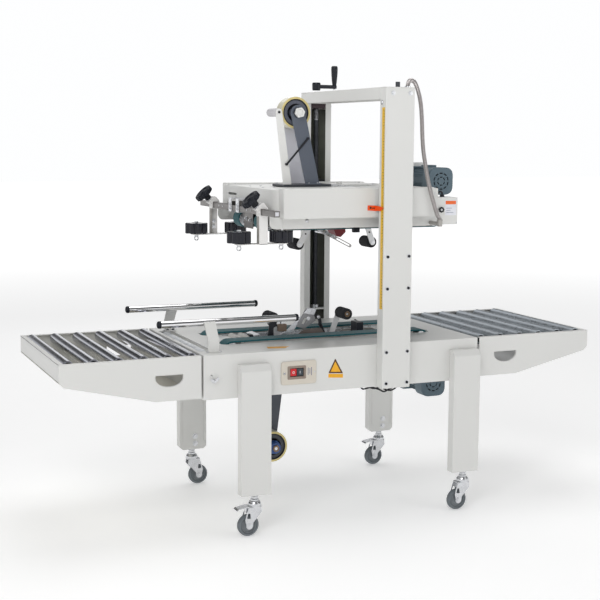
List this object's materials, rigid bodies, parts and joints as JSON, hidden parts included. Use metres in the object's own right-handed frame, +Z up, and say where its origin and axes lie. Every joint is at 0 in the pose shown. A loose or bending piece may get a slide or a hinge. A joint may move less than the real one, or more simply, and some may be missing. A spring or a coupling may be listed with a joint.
{
  "type": "carton sealer machine",
  "caption": "Belt-driven carton sealer: a bed and a height-adjustable head on a two-column portal tape cartons top and bottom, with roller tables, guides and casters.",
  "frame": {"origin": "on the floor, under the middle of the machine's outline", "axes": "+X is the way cartons travel, from the infeed table to the outfeed table; -Y is the operator's side, with the switch; +Z is up"},
  "size_m": [1.916, 0.72, 1.5441],
  "materials": {
    "powder_coat": "fine-textured light grey powder coat, satin",
    "belt": "teal woven-top rubber belt, matte",
    "zinc_plate": "bright zinc plate, satin",
    "steel": "zinc-plated pressed steel",
    "chrome": "polished chrome tube",
    "black_steel": "oiled black steel",
    "motor_enamel": "slate blue enamel on cast aluminium",
    "slate_paint": "slate grey paint",
    "black_plastic": "black moulded plastic",
    "black_rubber": "black rubber, matte",
    "grey_rubber": "grey non-marking rubber",
    "tape": "clear adhesive tape wound up, pale yellow",
    "red_plastic": "red moulded plastic",
    "metal_conduit": "ribbed flexible metal conduit"
  },
  "bodies": {
    "frame": {"bed": "powder_coat", "infeed_table": "powder_coat", "outfeed_table": "powder_coat", "leg_front_infeed": "powder_coat", "leg_front_outfeed": "powder_coat", "leg_rear_infeed": "powder_coat", "leg_rear_outfeed": "powder_coat", "column_front": "powder_coat", "column_rear": "powder_coat", "top_beam": "powder_coat", "lower_belt_front": "belt", "lower_belt_rear": "belt", "lower_motor": "motor_enamel", "lower_tape_unit": "slate_paint", "conduit": "metal_conduit"},
    "head": {"head_housing": "powder_coat", "upper_belt_front": "belt", "upper_belt_rear": "belt", "upper_motor": "motor_enamel", "junction_box": "powder_coat", "upper_tape_unit": "slate_paint", "press_bar": "zinc_plate"},
    "crank": {"crank_screw": "black_steel"},
    "front_screw": {"lead_screw_front": "black_steel"},
    "infeed_roller_1": {"infeed_roller_1": "zinc_plate"},
    "infeed_roller_2": {"infeed_roller_2": "zinc_plate"},
    "infeed_roller_3": {"infeed_roller_3": "zinc_plate"},
    "infeed_roller_4": {"infeed_roller_4": "zinc_plate"},
    "infeed_roller_5": {"infeed_roller_5": "zinc_plate"},
    "infeed_roller_6": {"infeed_roller_6": "zinc_plate"},
    "outfeed_roller_1": {"outfeed_roller_1": "zinc_plate"},
    "outfeed_roller_2": {"outfeed_roller_2": "zinc_plate"},
    "outfeed_roller_3": {"outfeed_roller_3": "zinc_plate"},
    "outfeed_roller_4": {"outfeed_roller_4": "zinc_plate"},
    "outfeed_roller_5": {"outfeed_roller_5": "zinc_plate"},
    "outfeed_roller_6": {"outfeed_roller_6": "zinc_plate"},
    "caster_fork_front_infeed": {"caster_fork_front_infeed": "steel"},
    "caster_wheel_front_infeed": {"caster_wheel_front_infeed": "grey_rubber"},
    "caster_fork_front_outfeed": {"caster_fork_front_outfeed": "steel"},
    "caster_wheel_front_outfeed": {"caster_wheel_front_outfeed": "grey_rubber"},
    "caster_fork_rear_infeed": {"caster_fork_rear_infeed": "steel"},
    "caster_wheel_rear_infeed": {"caster_wheel_rear_infeed": "grey_rubber"},
    "caster_fork_rear_outfeed": {"caster_fork_rear_outfeed": "steel"},
    "caster_wheel_rear_outfeed": {"caster_wheel_rear_outfeed": "grey_rubber"},
    "upper_tape_roll": {"upper_tape_roll": "tape"},
    "upper_front_wiper": {"upper_front_wiper": "black_rubber"},
    "upper_rear_wiper": {"upper_rear_wiper": "black_rubber"},
    "lower_tape_roll": {"lower_tape_roll": "tape"},
    "lower_front_wiper": {"lower_front_wiper": "black_rubber"},
    "lower_rear_wiper": {"lower_rear_wiper": "black_rubber"},
    "side_rail_front": {"side_rail_front": "chrome"},
    "side_rail_rear": {"side_rail_rear": "chrome"},
    "press_arm_front": {"press_arm_front": "zinc_plate"},
    "press_roller_front_infeed": {"press_roller_front_infeed": "black_plastic"},
    "press_roller_front_outfeed": {"press_roller_front_outfeed": "black_plastic"},
    "press_arm_rear": {"press_arm_rear": "zinc_plate"},
    "press_roller_rear_infeed": {"press_roller_rear_infeed": "black_plastic"},
    "press_roller_rear_outfeed": {"press_roller_rear_outfeed": "black_plastic"},
    "stop_button": {"stop_button": "red_plastic"},
    "start_button": {"start_button": "black_plastic"}
  },
  "joints": [
    {"name": "head_lift", "type": "slide", "parent": "frame", "child": "head", "axis": [0, 0, 1], "range_m": [-0.2, 0.135], "deforming": ["conduit"]},
    {"name": "crank_turn", "type": "hinge", "parent": "frame", "child": "crank", "pos_m": [0.1605, 0.3255, 1.444], "axis": [0, 0, 1], "range_deg": [-9731, 14411]},
    {"name": "front_screw_turn", "type": "hinge", "parent": "frame", "child": "front_screw", "pos_m": [0.1605, -0.3255, 1.444], "axis": [0, 0, 1], "range_deg": [-9731, 14411]},
    {"name": "infeed_roller_1_spin", "type": "hinge", "parent": "frame", "child": "infeed_roller_1", "pos_m": [-0.53, 0, 0.5815], "axis": [0, 1, 0], "continuous": true},
    {"name": "infeed_roller_2_spin", "type": "hinge", "parent": "frame", "child": "infeed_roller_2", "pos_m": [-0.6088, 0, 0.5815], "axis": [0, 1, 0], "continuous": true},
    {"name": "infeed_roller_3_spin", "type": "hinge", "parent": "frame", "child": "infeed_roller_3", "pos_m": [-0.6876, 0, 0.5815], "axis": [0, 1, 0], "continuous": true},
    {"name": "infeed_roller_4_spin", "type": "hinge", "parent": "frame", "child": "infeed_roller_4", "pos_m": [-0.7664, 0, 0.5815], "axis": [0, 1, 0], "continuous": true},
    {"name": "infeed_roller_5_spin", "type": "hinge", "parent": "frame", "child": "infeed_roller_5", "pos_m": [-0.8452, 0, 0.5815], "axis": [0, 1, 0], "continuous": true},
    {"name": "infeed_roller_6_spin", "type": "hinge", "parent": "frame", "child": "infeed_roller_6", "pos_m": [-0.924, 0, 0.5815], "axis": [0, 1, 0], "continuous": true},
    {"name": "outfeed_roller_1_spin", "type": "hinge", "parent": "frame", "child": "outfeed_roller_1", "pos_m": [0.53, 0, 0.5815], "axis": [0, 1, 0], "continuous": true},
    {"name": "outfeed_roller_2_spin", "type": "hinge", "parent": "frame", "child": "outfeed_roller_2", "pos_m": [0.6088, 0, 0.5815], "axis": [0, 1, 0], "continuous": true},
    {"name": "outfeed_roller_3_spin", "type": "hinge", "parent": "frame", "child": "outfeed_roller_3", "pos_m": [0.6876, 0, 0.5815], "axis": [0, 1, 0], "continuous": true},
    {"name": "outfeed_roller_4_spin", "type": "hinge", "parent": "frame", "child": "outfeed_roller_4", "pos_m": [0.7664, 0, 0.5815], "axis": [0, 1, 0], "continuous": true},
    {"name": "outfeed_roller_5_spin", "type": "hinge", "parent": "frame", "child": "outfeed_roller_5", "pos_m": [0.8452, 0, 0.5815], "axis": [0, 1, 0], "continuous": true},
    {"name": "outfeed_roller_6_spin", "type": "hinge", "parent": "frame", "child": "outfeed_roller_6", "pos_m": [0.924, 0, 0.5815], "axis": [0, 1, 0], "continuous": true},
    {"name": "caster_swivel_front_infeed", "type": "hinge", "parent": "frame", "child": "caster_fork_front_infeed", "pos_m": [-0.335, -0.3225, 0.135], "axis": [0, 0, 1], "continuous": true},
    {"name": "caster_spin_front_infeed", "type": "hinge", "parent": "caster_fork_front_infeed", "child": "caster_wheel_front_infeed", "pos_m": [-0.358, -0.3225, 0.0365], "axis": [0, 1, 0], "continuous": true},
    {"name": "caster_swivel_front_outfeed", "type": "hinge", "parent": "frame", "child": "caster_fork_front_outfeed", "pos_m": [0.4395, -0.3225, 0.135], "axis": [0, 0, 1], "continuous": true},
    {"name": "caster_spin_front_outfeed", "type": "hinge", "parent": "caster_fork_front_outfeed", "child": "caster_wheel_front_outfeed", "pos_m": [0.4165, -0.3225, 0.0365], "axis": [0, 1, 0], "continuous": true},
    {"name": "caster_swivel_rear_infeed", "type": "hinge", "parent": "frame", "child": "caster_fork_rear_infeed", "pos_m": [-0.335, 0.3225, 0.135], "axis": [0, 0, 1], "continuous": true},
    {"name": "caster_spin_rear_infeed", "type": "hinge", "parent": "caster_fork_rear_infeed", "child": "caster_wheel_rear_infeed", "pos_m": [-0.312, 0.3225, 0.0365], "axis": [0, 1, 0], "continuous": true},
    {"name": "caster_swivel_rear_outfeed", "type": "hinge", "parent": "frame", "child": "caster_fork_rear_outfeed", "pos_m": [0.4395, 0.3225, 0.135], "axis": [0, 0, 1], "continuous": true},
    {"name": "caster_spin_rear_outfeed", "type": "hinge", "parent": "caster_fork_rear_outfeed", "child": "caster_wheel_rear_outfeed", "pos_m": [0.4165, 0.3225, 0.0365], "axis": [0, 1, 0], "continuous": true},
    {"name": "upper_tape_roll_spin", "type": "hinge", "parent": "head", "child": "upper_tape_roll", "pos_m": [-0.07, 0, 1.363], "axis": [0, 1, 0], "continuous": true},
    {"name": "upper_front_wiper_swing", "type": "hinge", "parent": "head", "child": "upper_front_wiper", "pos_m": [-0.008, 0, 1], "axis": [0, -1, 0], "range_deg": [0, 115], "stiffness_Nm_per_rad": 0.6, "springref_deg": -28.65},
    {"name": "upper_rear_wiper_swing", "type": "hinge", "parent": "head", "child": "upper_rear_wiper", "pos_m": [0.188, 0, 1], "axis": [0, -1, 0], "range_deg": [0, 64], "stiffness_Nm_per_rad": 0.6, "springref_deg": -28.65},
    {"name": "lower_tape_roll_spin", "type": "hinge", "parent": "frame", "child": "lower_tape_roll", "pos_m": [-0.15, 0, 0.205], "axis": [0, 1, 0], "continuous": true},
    {"name": "lower_front_wiper_swing", "type": "hinge", "parent": "frame", "child": "lower_front_wiper", "pos_m": [-0.1, 0, 0.575], "axis": [0, 1, 0], "range_deg": [0, 115], "stiffness_Nm_per_rad": 0.6, "springref_deg": -28.65},
    {"name": "lower_rear_wiper_swing", "type": "hinge", "parent": "frame", "child": "lower_rear_wiper", "pos_m": [0.096, 0, 0.575], "axis": [0, 1, 0], "range_deg": [0, 64], "stiffness_Nm_per_rad": 0.6, "springref_deg": -28.65},
    {"name": "side_rail_front_slide", "type": "slide", "parent": "frame", "child": "side_rail_front", "axis": [0, 1, 0], "range_m": [-0.03, 0.1]},
    {"name": "side_rail_rear_slide", "type": "slide", "parent": "frame", "child": "side_rail_rear", "axis": [0, 1, 0], "range_m": [-0.07, 0.06]},
    {"name": "press_arm_front_slide", "type": "slide", "parent": "head", "child": "press_arm_front", "axis": [0, 1, 0], "range_m": [-0.1, 0.04]},
    {"name": "press_roller_front_infeed_spin", "type": "hinge", "parent": "press_arm_front", "child": "press_roller_front_infeed", "pos_m": [-0.3485, -0.215, 0.9406], "axis": [0, 0, 1], "continuous": true},
    {"name": "press_roller_front_outfeed_spin", "type": "hinge", "parent": "press_arm_front", "child": "press_roller_front_outfeed", "pos_m": [-0.2015, -0.215, 0.9406], "axis": [0, 0, 1], "continuous": true},
    {"name": "press_arm_rear_slide", "type": "slide", "parent": "head", "child": "press_arm_rear", "axis": [0, 1, 0], "range_m": [-0.04, 0.1]},
    {"name": "press_roller_rear_infeed_spin", "type": "hinge", "parent": "press_arm_rear", "child": "press_roller_rear_infeed", "pos_m": [-0.3485, 0.215, 0.9406], "axis": [0, 0, 1], "continuous": true},
    {"name": "press_roller_rear_outfeed_spin", "type": "hinge", "parent": "press_arm_rear", "child": "press_roller_rear_outfeed", "pos_m": [-0.2015, 0.215, 0.9406], "axis": [0, 0, 1], "continuous": true},
    {"name": "stop_button_press", "type": "slide", "parent": "frame", "child": "stop_button", "axis": [0, 1, 0], "range_m": [0, 0.003], "stiffness_N_per_m": 400},
    {"name": "start_button_press", "type": "slide", "parent": "frame", "child": "start_button", "axis": [0, 1, 0], "range_m": [0, 0.003], "stiffness_N_per_m": 400}
  ],
  "couplings": [
    {"joint": "crank_turn", "follows": "head_lift", "rad_per_m": -1256.6},
    {"joint": "front_screw_turn", "follows": "head_lift", "rad_per_m": -1256.6},
    {"joint": "upper_rear_wiper_swing", "follows": "upper_front_wiper_swing", "ratio": 0.55},
    {"joint": "lower_rear_wiper_swing", "follows": "lower_front_wiper_swing", "ratio": 0.55}
  ]
}
